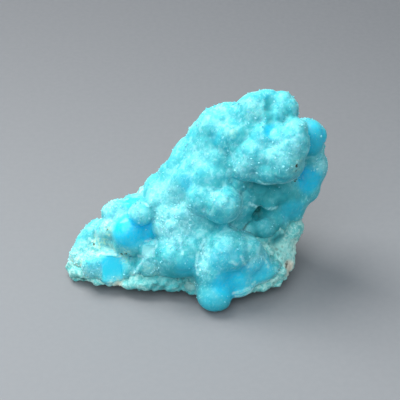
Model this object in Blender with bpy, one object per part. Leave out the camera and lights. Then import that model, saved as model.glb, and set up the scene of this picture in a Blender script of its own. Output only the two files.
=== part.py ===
# Hand specimen of blue botryoidal hemimorphite on its pale host rock.
# X runs across the specimen, Y away from its knobbly face, Z up. Every size is in metres.

from math import radians

import bpy
import bmesh
from mathutils import Matrix, Vector

MM = 0.001

# Driving sizes of the specimen.
SEAM_GAP = 0.35 * MM        # between the crust and the rock it grew on
VALLEY_FILL = 0.5 * MM      # how far new growth rounds out the valleys between knobs
SMALL_KNOB = 3.0 * MM       # spacing of the small knobs that cover the big ones
SMALL_KNOB_DEPTH = 0.7 * MM
LEDGE = 5.0 * MM            # spacing of the broken ledges on the host rock
LEDGE_HEIGHT = 2.2 * MM
CRUMB = 2.2 * MM            # spacing of the crumbs on those ledges
CRUMB_HEIGHT = 1.4 * MM
BREAK_DEPTH = 6.0 * MM      # how far a broken face's cutter stands out in front of it
GROUND_BLOCK = (100, 100, 20)   # in millimetres, its top on the ground

# How finely the skins are built.
FUSE_CELL = 0.5 * MM        # cell size when the knobs are fused into one skin
ROCK_CELL = 0.9 * MM        # cell size of the host rock before it is roughened
SMOOTHING_ROUNDS = 5
CRUST_KEPT = 0.11           # share of the fused skin's faces that the crust keeps
ROCK_KEPT = 0.14            # share of the roughened rock's faces that the rock keeps

# Knobs of the crust: name, centre (x, y, z) and radius, all in millimetres.
KNOBS = {
    # the toe that touches the ground, and the lumps around it
    "toe": (3.7, 2.5, 3.8, 4.2),
    "toe_left": (3.0, 4.2, 8.9, 4.0),
    "instep": (6.9, 5.8, 13.4, 5.3),
    "instep_low": (9.0, 6.0, 6.2, 4.2),
    "ankle": (13.8, 7.5, 8.6, 3.3),
    "ankle_low": (13.2, 8.0, 4.4, 2.8),
    "heel": (17.2, 9.5, 5.9, 3.0),
    # the belly, left of the toe
    "belly": (-4.2, 8.5, 10.8, 6.2),
    "belly_low": (-7.0, 9.5, 6.2, 3.8),
    "belly_left": (-11.8, 10.0, 5.4, 3.6),
    "side_lump": (-0.9, 8.5, 8.2, 2.8),
    "white_facet": (-12.0, 11.0, 8.8, 2.8),
    # frosted middle
    "mid_frost": (-5.5, 11.8, 16.9, 4.9),
    "mid_frost_up": (-7.9, 15.0, 21.0, 4.2),
    "mid_frost_left": (-10.5, 16.5, 18.5, 3.0),
    "mid_right": (1.2, 11.0, 14.7, 4.6),
    "mid_link": (-1.3, 12.5, 19.4, 4.0),
    "chest": (5.5, 9.5, 24.0, 4.9),
    "chest_left": (0.5, 13.5, 24.3, 4.1),
    # the big overhanging nose and the cheek beside it
    "nose": (18.8, 12.0, 34.5, 5.4),
    "nose_low": (15.3, 12.0, 31.6, 3.8),
    "nose_top": (21.6, 14.5, 40.0, 3.1),
    "cheek": (10.9, 13.5, 32.2, 4.3),
    "cheek_top": (13.0, 13.5, 36.5, 2.6),
    "brow": (12.6, 19.5, 42.8, 4.0),
    "brow_low": (12.2, 17.0, 39.3, 3.4),
    "brow_fill": (15.8, 21.0, 42.7, 3.4),
    "crown": (19.0, 20.5, 42.2, 4.2),
    # the long slope up to the crest
    "shoulder_top": (6.8, 20.5, 39.6, 3.9),
    "shoulder": (2.1, 20.5, 34.8, 4.5),
    "shoulder_mid": (4.6, 17.0, 31.3, 5.0),
    "shoulder_left": (-1.4, 20.0, 30.3, 4.1),
    "shoulder_low": (-4.3, 19.0, 25.2, 4.4),
    "shoulder_in": (0.5, 17.0, 27.5, 4.6),
    "flank": (-8.9, 19.0, 21.1, 4.2),
    # ears on the right
    "ear_up": (25.5, 23.0, 34.0, 3.7),
    "ear_mid": (26.7, 23.0, 29.7, 3.0),
    "ear_low": (26.8, 22.0, 25.3, 4.0),
    "ear_tail": (25.4, 21.0, 20.6, 3.8),
    # the shaded recess under the nose
    "under_nose": (14.9, 17.6, 20.3, 4.6),
    "under_nose_right": (21.3, 19.2, 19.6, 4.9),
    "recess_lump": (17.9, 15.6, 14.8, 3.5),
    "recess_small": (12.2, 13.3, 13.9, 3.2),
    "recess_deep": (14.6, 14.0, 9.2, 3.6),
    "right_edge": (22.6, 18.8, 16.0, 3.2),
    # left cluster
    "pearl": (-13.2, 13.5, 18.6, 2.7),
    "glass_knob": (-16.4, 12.1, 14.8, 3.7),
    "glass_right": (-12.7, 15.0, 12.6, 3.6),
    "druse_knob": (-19.4, 17.0, 16.3, 3.0),
    "arm_gap": (-15.4, 19.0, 17.0, 3.4),
    "arm_knob": (-24.2, 17.6, 10.8, 3.0),
    "arm_low": (-26.6, 16.5, 8.0, 2.5),
    "cream_ridge": (-21.6, 14.0, 13.1, 2.6),
    "window": (-20.2, 10.5, 5.2, 4.8),
    "window_right": (-17.6, 11.0, 4.8, 3.6),
    "window_left": (-24.6, 12.5, 5.0, 3.6),
    "left_foot": (-27.6, 14.5, 4.6, 3.6),
}

# Thick body of the crust behind the knobs: centre and half sizes, in millimetres.
BODY = {
    "body_crest": ((14.0, 20.0, 36.0), (7.0, 5.5, 7.0)),
    "body_shoulder": ((4.5, 20.0, 31.0), (7.5, 6.0, 9.0)),
    "body_chest": ((5.0, 15.5, 21.0), (10.0, 6.0, 9.0)),
    "body_right": ((18.5, 20.8, 24.0), (7.0, 5.0, 10.0)),
    "body_belly": ((-2.0, 13.5, 12.0), (12.0, 6.0, 9.0)),
    "body_toe": ((9.0, 9.5, 7.5), (8.0, 5.0, 5.5)),
    "body_left": ((-16.5, 15.5, 9.5), (9.5, 4.5, 6.0)),
    "body_arm": ((-23.5, 16.0, 7.5), (6.0, 4.0, 4.5)),
    "body_nose": ((17.0, 15.5, 33.0), (6.0, 4.5, 6.0)),
    "body_side": ((-0.8, 6.0, 5.6), (2.6, 2.6, 2.6)),
}

# Corners of the host rock, in millimetres. It is broken on every side but the one under the crust.
ROCK_CORNERS = [
    # flat base, cut level below
    (-20, 13, -1), (-6, 10, -1), (6, 10, -1), (13, 12, -1),
    (15, 24, -1), (8, 31, -1), (-6, 32, -1), (-19, 26, -1),
    # front rim, which stands proud of the base
    (-30.6, 13, 1.6), (-29, 9.8, 1.2), (-25.5, 8.7, 0.9), (-20, 7.7, 0.8), (-14, 7.2, 0.9),
    (-4.5, 6.7, 1.0), (1, 6.5, 1.0), (7, 5.8, 1.0), (13.7, 5.2, 1.2), (17.4, 6.2, 1.8),
    (21, 8.2, 2.6), (22.4, 11, 4.4), (24.4, 14.5, 8.4), (24.8, 18.5, 11.6),
    # left end and back
    (-29.6, 16, 2.4), (-28, 21, 4.6), (-24, 26, 7),
    (-12, 33, 10), (4, 35, 12), (16, 31, 14), (23, 25, 18),
    # upper back and the edge under the crest
    (10, 31, 32), (16, 28, 35), (2, 30, 28), (-8, 28, 20), (21, 27, 28),
    (10, 26.5, 37), (16, 26.5, 37), (0, 24, 26),
]

# Flat faces where the crust broke: middle of the face, direction it looks in (degrees round from
# the front and up), then its width and height, all lengths in millimetres.
BROKEN_FACES = {
    "glassy_window": ((-20.2, 7.95, 6.5), (4, 28), (6.0, 5.6)),
    "white_facet": ((-12.2, 9.2, 9.9), (-18, 34), (4.6, 4.6)),
    "ear_break": ((24.2, 17.6, 27.0), (28, 8), (4.2, 8.0)),
}


def millimetres(point):
    return Vector(point) * MM


def principled(name, colour, roughness):
    material = bpy.data.materials.new(name)
    material.use_nodes = True
    shader = material.node_tree.nodes["Principled BSDF"]
    shader.inputs["Base Color"].default_value = (*colour, 1.0)
    shader.inputs["Roughness"].default_value = roughness
    shader.inputs["Metallic"].default_value = 0.0
    return material


def object_from(name, builder, material=None):
    mesh = bpy.data.meshes.new(name)
    builder.to_mesh(mesh)
    builder.free()
    made = bpy.data.objects.new(name, mesh)
    bpy.context.scene.collection.objects.link(made)
    if material:
        mesh.materials.append(material)
    return made


def hide_helper(helper):
    helper.hide_render = True
    helper.display_type = "WIRE"
    return helper


def add_displacement(target, name, kind, strength, size):
    """Raises the surface along its normals by one of Blender's noise textures."""
    texture = bpy.data.textures.new(name, kind)
    texture.noise_scale = size
    raise_skin = target.modifiers.new(name, "DISPLACE")
    raise_skin.texture = texture
    raise_skin.texture_coords = "LOCAL"
    raise_skin.strength = strength
    raise_skin.mid_level = 0.5


def add_offset(target, name, distance):
    """Moves the whole surface along its normals."""
    offset = target.modifiers.new(name, "DISPLACE")
    offset.strength = distance
    offset.mid_level = 0.0


def add_voxels(target, cell):
    """Joins every overlapping shape of the mesh into one skin of square cells."""
    fuse = target.modifiers.new("fuse", "REMESH")
    fuse.mode = "VOXEL"
    fuse.voxel_size = cell


def add_thinning(target, kept):
    thin_out = target.modifiers.new("thin_out", "DECIMATE")
    thin_out.ratio = kept


def add_cut(target, cutter, solver="EXACT"):
    cut = target.modifiers.new("cut_by_" + cutter.name, "BOOLEAN")
    cut.operation = "DIFFERENCE"
    cut.solver = solver
    cut.object = cutter


def add_lump(builder, centre, half_sizes):
    made = bmesh.ops.create_icosphere(builder, subdivisions=3, radius=1.0)
    bmesh.ops.scale(builder, vec=half_sizes, verts=made["verts"])
    bmesh.ops.translate(builder, vec=centre, verts=made["verts"])


def rock_surface(name, material=None):
    """The hull of the rock's corners, roughened into ledges and crumbs."""
    builder = bmesh.new()
    for corner in ROCK_CORNERS:
        builder.verts.new(millimetres(corner))
    hull = bmesh.ops.convex_hull(builder, input=builder.verts)
    spare = {item for key in ("geom_interior", "geom_unused") for item in hull[key]}
    bmesh.ops.delete(builder, geom=list(spare), context="VERTS")
    rock = object_from(name, builder, material)
    add_voxels(rock, ROCK_CELL)
    add_displacement(rock, "ledges", "VORONOI", LEDGE_HEIGHT, LEDGE)
    add_displacement(rock, "crumbs", "CLOUDS", CRUMB_HEIGHT, CRUMB)
    add_thinning(rock, ROCK_KEPT)
    return rock


def fused_knobs(material):
    """The knobs and the body behind them, grown together into one skin."""
    builder = bmesh.new()
    swollen = Vector((VALLEY_FILL,) * 3)
    for x, y, z, radius in KNOBS.values():
        add_lump(builder, millimetres((x, y, z)), millimetres((radius,) * 3) + swollen)
    for centre, half_sizes in BODY.values():
        add_lump(builder, millimetres(centre), millimetres(half_sizes) + swollen)
    crust = object_from("hemimorphite_crust", builder, material)
    add_voxels(crust, FUSE_CELL)
    soften = crust.modifiers.new("soften", "SMOOTH")
    soften.factor = 0.5
    soften.iterations = SMOOTHING_ROUNDS
    add_offset(crust, "shrink_back", -VALLEY_FILL)
    add_displacement(crust, "small_knobs", "VORONOI", -SMALL_KNOB_DEPTH, SMALL_KNOB)
    add_voxels(crust, FUSE_CELL)
    add_thinning(crust, CRUST_KEPT)
    return crust


def face_cutters():
    """One block in front of each broken face."""
    builder = bmesh.new()
    for middle, (turn, tilt), (width, height) in BROKEN_FACES.values():
        block = bmesh.ops.create_cube(builder, size=1.0)["verts"]
        depth = BREAK_DEPTH / MM
        bmesh.ops.scale(builder, vec=millimetres((width, depth, height)), verts=block)
        bmesh.ops.translate(builder, vec=millimetres((0, -depth / 2, 0)), verts=block)
        for angle, axis in ((-tilt, "X"), (turn, "Z")):
            spin = Matrix.Rotation(radians(angle), 3, axis)
            bmesh.ops.rotate(builder, matrix=spin, verts=block)
        bmesh.ops.translate(builder, vec=millimetres(middle), verts=block)
    return hide_helper(object_from("broken_faces", builder))


def floor_cutter():
    builder = bmesh.new()
    bmesh.ops.create_cube(builder, size=1.0)
    bmesh.ops.scale(builder, vec=millimetres(GROUND_BLOCK), verts=builder.verts)
    bmesh.ops.translate(builder, vec=millimetres((0, 0, -GROUND_BLOCK[2] / 2)), verts=builder.verts)
    return hide_helper(object_from("below_ground", builder))


def corners_of(solids):
    """Lowest and highest corner of the solids as they are built."""
    bpy.context.view_layer.update()
    graph = bpy.context.evaluated_depsgraph_get()
    points = [
        solid.matrix_world @ Vector(corner)
        for solid in solids
        for corner in solid.evaluated_get(graph).bound_box
    ]
    low = Vector(min(point[axis] for point in points) for axis in range(3))
    high = Vector(max(point[axis] for point in points) for axis in range(3))
    return low, high


def main():
    for old in list(bpy.data.objects):
        bpy.data.objects.remove(old)
    blue = principled("hemimorphite blue", (0.22, 0.72, 0.82), 0.35)
    pale = principled("pale host rock", (0.62, 0.70, 0.62), 0.85)

    crust = fused_knobs(blue)
    rock = rock_surface("matrix", pale)
    seat = hide_helper(rock_surface("rock_seat"))
    add_offset(seat, "seam", SEAM_GAP)
    ground = floor_cutter()
    breaks = face_cutters()
    for cutter in (seat, breaks, ground):
        add_cut(crust, cutter, solver="MANIFOLD")
    add_cut(rock, ground)

    # The origin is the middle of the footprint, on the ground.
    low, high = corners_of([crust, rock])
    middle = (low + high) / 2
    for placed in (crust, rock, seat, breaks, ground):
        placed.location -= Vector((middle.x, middle.y, 0.0))


main()
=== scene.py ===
import math

import bmesh
import bpy
import numpy as np
from mathutils import Euler, Matrix, Vector, noise
from mathutils.bvhtree import BVHTree
from mathutils.kdtree import KDTree


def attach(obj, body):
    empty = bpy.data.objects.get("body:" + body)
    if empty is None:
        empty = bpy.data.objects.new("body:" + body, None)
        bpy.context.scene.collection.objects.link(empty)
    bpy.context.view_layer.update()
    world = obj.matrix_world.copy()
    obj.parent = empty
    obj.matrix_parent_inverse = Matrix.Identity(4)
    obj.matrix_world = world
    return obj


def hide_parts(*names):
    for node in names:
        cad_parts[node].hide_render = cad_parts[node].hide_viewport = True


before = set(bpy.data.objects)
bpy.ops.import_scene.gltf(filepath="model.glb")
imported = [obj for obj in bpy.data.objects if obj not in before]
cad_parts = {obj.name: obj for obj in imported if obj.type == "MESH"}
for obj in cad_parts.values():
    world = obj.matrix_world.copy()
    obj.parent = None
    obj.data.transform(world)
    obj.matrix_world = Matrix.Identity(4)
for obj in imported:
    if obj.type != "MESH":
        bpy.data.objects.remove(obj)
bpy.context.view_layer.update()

# A blue hemimorphite hand specimen. Names that end in Mm hold millimetres, everything else metres.
mm = 0.001
perMetre = 1000.0

view = {
    "azimuth": 0.0,
    "elevation": 35.0,
    "distanceMm": 258.0,
    "aimMm": (0.64, -1.68, 21.0),
    "lens": 100.0,
    "sensor": 36.0,
}


def directionTo(azimuth, elevation):
    a, e = math.radians(azimuth), math.radians(elevation)
    return Vector((math.sin(a) * math.cos(e), -math.cos(a) * math.cos(e), math.sin(e)))


def aimAt(thing, target):
    thing.rotation_mode = "QUATERNION"
    thing.rotation_quaternion = (target - thing.location).to_track_quat("-Z", "Y")


def addThing(name, data):
    thing = bpy.data.objects.new(name, data)
    bpy.context.scene.collection.objects.link(thing)
    return thing


def addCamera():
    camera = addThing("photoCamera", bpy.data.cameras.new("photoCamera"))
    aim = Vector(view["aimMm"]) * mm
    camera.location = aim + directionTo(view["azimuth"], view["elevation"]) * view["distanceMm"] * mm
    aimAt(camera, aim)
    camera.data.lens = view["lens"]
    camera.data.sensor_width = view["sensor"]
    camera.data.clip_start = 0.01
    bpy.context.scene.camera = camera


addCamera()
print("camera placed")


# small helpers for node trees
def addNode(tree, kind, settings=None, **inputs):
    node = tree.nodes.new(kind)
    for name, value in (settings or {}).items():
        setattr(node, name, value)
    for name, value in inputs.items():
        node.inputs[name.replace("_", " ")].default_value = value
    return node


def addMath(tree, operation, first, second=0.0, clamp=False):
    node = addNode(tree, "ShaderNodeMath", {"operation": operation, "use_clamp": clamp})
    for socket, value in zip(node.inputs, (first, second)):
        if isinstance(value, (int, float)):
            socket.default_value = value
        else:
            tree.links.new(value, socket)
    return node.outputs[0]


def multiply(tree, value, *factors):
    for factor in factors:
        value = addMath(tree, "MULTIPLY", value, factor)
    return value


def addMix(tree, share, first, second):
    node = addNode(tree, "ShaderNodeMix", {"data_type": "RGBA"})
    for socket, value in zip((node.inputs[0], node.inputs[6], node.inputs[7]), (share, first, second)):
        if isinstance(value, (int, float)):
            socket.default_value = value
        elif isinstance(value, tuple):
            socket.default_value = (*value, 1.0)
        else:
            tree.links.new(value, socket)
    return node.outputs[2]


def addRange(tree, value, low, high, toLow=0.0, toHigh=1.0):
    node = addNode(tree, "ShaderNodeMapRange", {"interpolation_type": "SMOOTHSTEP"})
    tree.links.new(value, node.inputs[0])
    for index, number in enumerate((low, high, toLow, toHigh), 1):
        node.inputs[index].default_value = number
    return node.outputs[0]


def addAttribute(tree, name):
    return addNode(tree, "ShaderNodeAttribute", {"attribute_name": name}).outputs["Fac"]


def newGroup(name, inputs, outputs):
    group = bpy.data.node_groups.new(name, "ShaderNodeTree")
    for socketName, start in inputs.items():
        socket = group.interface.new_socket(socketName, in_out="INPUT", socket_type="NodeSocketFloat")
        socket.default_value = start
    for socketName in outputs:
        group.interface.new_socket(socketName, in_out="OUTPUT", socket_type="NodeSocketFloat")
    return group, group.nodes.new("NodeGroupInput").outputs, group.nodes.new("NodeGroupOutput").inputs


# cloudy patches at three sizes, as minerals have inside
def makeMottle():
    sizes = {"Patch Size": 5.0, "Spot Size": 1.6, "Fleck Size": 0.8}
    group, given, out = newGroup("mineralMottle", sizes, ("Patches", "Spots", "Flecks"))
    place = addNode(group, "ShaderNodeTexCoord").outputs["Object"]
    for wanted, socket, detail, roughness in (
        ("Patches", "Patch Size", 4.0, 0.6),
        ("Spots", "Spot Size", 2.0, 0.6),
        ("Flecks", "Fleck Size", 3.0, 0.65),
    ):
        cloud = addNode(group, "ShaderNodeTexNoise", Detail=detail, Roughness=roughness, Distortion=0.4)
        group.links.new(place, cloud.inputs["Vector"])
        group.links.new(addMath(group, "DIVIDE", perMetre, given[socket]), cloud.inputs["Scale"])
        group.links.new(cloud.outputs["Fac"], out[wanted])
    return group


# tiny crystal grains that stand up from the surface
def makeGrain():
    group, given, out = newGroup("sugarGrain", {"Grain Size": 0.35, "Coarse": 0.5}, ("Height", "Tips"))
    place = addNode(group, "ShaderNodeTexCoord").outputs["Object"]
    scale = addMath(group, "DIVIDE", perMetre, given["Grain Size"])
    heights = []
    for share in (1.0, 0.42):
        grains = addNode(group, "ShaderNodeTexVoronoi", {"feature": "F1"}, Randomness=1.0)
        group.links.new(place, grains.inputs["Vector"])
        group.links.new(multiply(group, scale, share), grains.inputs["Scale"])
        heights.append(addMath(group, "SUBTRACT", 1.0, grains.outputs["Distance"]))
    fine, coarse = heights
    both = addMath(group, "ADD", fine, multiply(group, coarse, given["Coarse"]))
    group.links.new(both, out["Height"])
    group.links.new(addRange(group, fine, 0.62, 0.95), out["Tips"])
    return group


# short pale needles that lie two ways
def makeFibres():
    group, given, out = newGroup("crystalFibres", {"Fibre Length": 1.6, "Fibre Width": 0.5}, ("Needles",))
    place = addNode(group, "ShaderNodeTexCoord").outputs["Object"]
    stretch = addNode(group, "ShaderNodeCombineXYZ")
    for index, socket in enumerate(("Fibre Length", "Fibre Width", "Fibre Width")):
        group.links.new(addMath(group, "DIVIDE", perMetre, given[socket]), stretch.inputs[index])
    layers = []
    for turn in ((0.5, 1.1, 0.9), (-0.6, 0.7, -0.8)):
        turned = addNode(group, "ShaderNodeVectorRotate", {"rotation_type": "EULER_XYZ"}, Rotation=turn)
        group.links.new(place, turned.inputs["Vector"])
        scaled = addNode(group, "ShaderNodeVectorMath", {"operation": "MULTIPLY"})
        group.links.new(turned.outputs[0], scaled.inputs[0])
        group.links.new(stretch.outputs[0], scaled.inputs[1])
        cloud = addNode(group, "ShaderNodeTexNoise", Scale=1.0, Detail=1.0, Roughness=0.5, Distortion=0.3)
        group.links.new(scaled.outputs[0], cloud.inputs["Vector"])
        layers.append(addRange(group, cloud.outputs["Fac"], 0.60, 0.69))
    group.links.new(addMath(group, "MAXIMUM", layers[0], layers[1]), out["Needles"])
    return group


mottle, grain, fibres = makeMottle(), makeGrain(), makeFibres()


def addGroup(tree, group, **inputs):
    node = addNode(tree, "ShaderNodeGroup", {"node_tree": group})
    for name, value in inputs.items():
        node.inputs[name.replace("_", " ")].default_value = value
    return node.outputs


def newMaterial(name):
    material = bpy.data.materials.new(name)
    material.use_nodes = True
    tree = material.node_tree
    return material, tree, tree.nodes["Principled BSDF"]


def setShader(shader, values):
    for name, value in values.items():
        shader.inputs[name].default_value = value


def addBump(tree, shader, height, values):
    bump = addNode(tree, "ShaderNodeBump", Strength=values["strength"], Distance=values["distanceMm"] * mm)
    tree.links.new(height, bump.inputs["Height"])
    tree.links.new(bump.outputs[0], shader.inputs["Normal"])


# mesh helpers that work on numpy arrays
def readMesh(thing):
    mesh = thing.data
    points = np.empty(len(mesh.vertices) * 3)
    mesh.vertices.foreach_get("co", points)
    edges = np.empty(len(mesh.edges) * 2, np.int64)
    mesh.edges.foreach_get("vertices", edges)
    return points.reshape(-1, 3), edges.reshape(-1, 2)


def writePoints(thing, points):
    thing.data.vertices.foreach_set("co", points.astype(np.float32).ravel())
    thing.data.update()


def normalsOf(thing):
    normals = np.empty(len(thing.data.vertices) * 3)
    thing.data.vertices.foreach_get("normal", normals)
    return normals.reshape(-1, 3)


def relaxed(points, edges, rounds, weight=1.0):
    count = len(points)
    degree = np.maximum(np.bincount(edges.ravel(), minlength=count), 1)[:, None]
    for _ in range(rounds):
        total = np.zeros_like(points)
        for axis in range(points.shape[1]):
            total[:, axis] = np.bincount(edges[:, 0], points[edges[:, 1], axis], count)
            total[:, axis] += np.bincount(edges[:, 1], points[edges[:, 0], axis], count)
        points = points + 0.5 * weight * (total / degree - points)
    return points


def smoothstep(low, high, value):
    t = np.clip((value - low) / (high - low), 0.0, 1.0)
    return t * t * (3.0 - 2.0 * t)


def cells(points, sizeMm, shift=0.0):
    scale = 1.0 / (sizeMm * mm)
    move = Vector((shift, shift * 1.7, -shift))
    found = np.array([noise.voronoi(Vector(p) * scale + move)[0][:2] for p in points])
    return found[:, 0], found[:, 1]


def clouds(points, sizeMm, octaves=3, shift=0.0):
    scale = 1.0 / (sizeMm * mm)
    move = Vector((shift, -shift, shift * 0.6))
    return np.array([noise.fractal(Vector(p) * scale + move, 0.8, 2.1, octaves) for p in points])


def patchWeight(points, patches):
    weight = np.zeros(len(points))
    for x, y, z, radius, amount in patches:
        away = np.linalg.norm(points / mm - (x, y, z), axis=1) / radius
        weight = np.maximum(weight, amount * (1.0 - smoothstep(0.55, 1.2, away)))
    return weight


def storeAttribute(thing, name, values):
    attribute = thing.data.attributes.new(name, "FLOAT", "POINT")
    attribute.data.foreach_set("value", values.astype(np.float32))


# a fine even skin over one CAD solid, its facets eased away but for the crisp places
def fineSkin(nodeName, name, values):
    builder = bmesh.new()
    builder.from_mesh(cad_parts[nodeName].data)
    bmesh.ops.remove_doubles(builder, verts=builder.verts, dist=0.000001)
    for centre, radii, turn in values.get("fillers", {}).values():
        turned = Euler((0.0, -math.radians(turn), 0.0))
        shape = Matrix.LocRotScale(Vector(centre) * mm, turned, Vector(radii) * mm)
        bmesh.ops.create_icosphere(builder, subdivisions=4, radius=1.0, matrix=shape)
    mesh = bpy.data.meshes.new(name + "Coarse")
    builder.to_mesh(mesh)
    builder.free()
    coarse = addThing(name + "Coarse", mesh)
    skin = coarse.modifiers.new("skin", "REMESH")
    skin.mode = "VOXEL"
    skin.voxel_size = values["cellMm"] * mm
    bpy.context.view_layer.update()
    built = bpy.data.meshes.new_from_object(coarse.evaluated_get(bpy.context.evaluated_depsgraph_get()))
    bpy.data.objects.remove(coarse)
    built.materials.clear()
    thing = addThing(name, built)
    points, edges = readMesh(thing)
    soft = 1.0 - patchWeight(points, values.get("crisp", ()))
    writePoints(thing, relaxed(points, edges, values["easing"], soft[:, None]))
    built.shade_smooth()
    return thing


def raiseSkin(thing, heights):
    points, _ = readMesh(thing)
    points = points + normalsOf(thing) * (heights * mm)[:, None]
    points[:, 2] = np.maximum(points[:, 2], 0.0)
    writePoints(thing, points)


# how far each point stands above (+) or below (-) its surroundings, in millimetres
def standOut(thing, rounds):
    points, edges = readMesh(thing)
    away = ((points - relaxed(points, edges, rounds)) * normalsOf(thing)).sum(axis=1) / mm
    return relaxed(away[:, None], edges, 2)[:, 0]


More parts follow.
